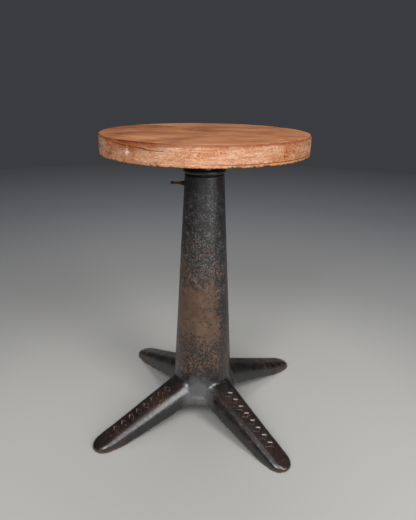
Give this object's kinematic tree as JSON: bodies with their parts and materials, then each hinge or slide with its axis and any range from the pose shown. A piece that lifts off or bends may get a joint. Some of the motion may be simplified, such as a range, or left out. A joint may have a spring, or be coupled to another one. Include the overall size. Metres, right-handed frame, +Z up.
{
  "type": "adjustable swivel stool",
  "caption": "Swivel stool with a round wooden seat on a sliding post, clamped in a tapered cast iron column on arched legs.",
  "frame": {"origin": "on the floor under the middle of the column", "axes": "+Z up along the column, the four legs point between the X and Y axes, the clamp screw points along -X"},
  "size_m": [0.335, 0.335, 0.512],
  "materials": {
    "painted_cast_iron": "worn black paint with rust showing through, satin",
    "gunmetal": "turned, oiled",
    "brass": "turned",
    "rusty_steel": "brown rust, rough",
    "post_steel": "turned, oiled",
    "seat_wood": "old varnish over orange-brown wood, satin"
  },
  "bodies": {
    "pedestal": {"pedestal": "painted_cast_iron", "neck_bush": "gunmetal"},
    "clamp_pad": {"clamp_pad": "brass"},
    "clamp_screw": {"clamp_screw": "rusty_steel"},
    "post": {"post": "post_steel", "stop_collar": "post_steel", "stop_collar_pin": "post_steel", "rest_collar": "post_steel", "rest_collar_pin": "post_steel", "thrust_washer": "gunmetal", "top_washer": "post_steel", "castle_nut": "post_steel", "split_pin": "post_steel"},
    "seat": {"seat_plate": "painted_cast_iron", "swivel_bush": "gunmetal", "seat_screws": "rusty_steel", "seat_veneer": "seat_wood", "seat_core": "seat_wood", "seat_top": "seat_wood"}
  },
  "joints": [
    {"name": "seat_height", "type": "slide", "parent": "pedestal", "child": "post", "axis": [0, 0, 1], "range_m": [0, 0.125]},
    {"name": "seat_swivel", "type": "hinge", "parent": "post", "child": "seat", "pos_m": [0, 0, 0.475], "axis": [0, 0, 1], "continuous": true},
    {"name": "clamp_feed", "type": "slide", "parent": "pedestal", "child": "clamp_pad", "axis": [-1, 0, 0], "range_m": [0, 0.00141]},
    {"name": "clamp_turn", "type": "hinge", "parent": "clamp_pad", "child": "clamp_screw", "pos_m": [-0.03, 0, 0.428], "axis": [-1, 0, 0], "range_deg": [0, 360]}
  ],
  "couplings": [
    {"joint": "clamp_turn", "follows": "clamp_feed", "rad_per_m": 4452.6}
  ]
}
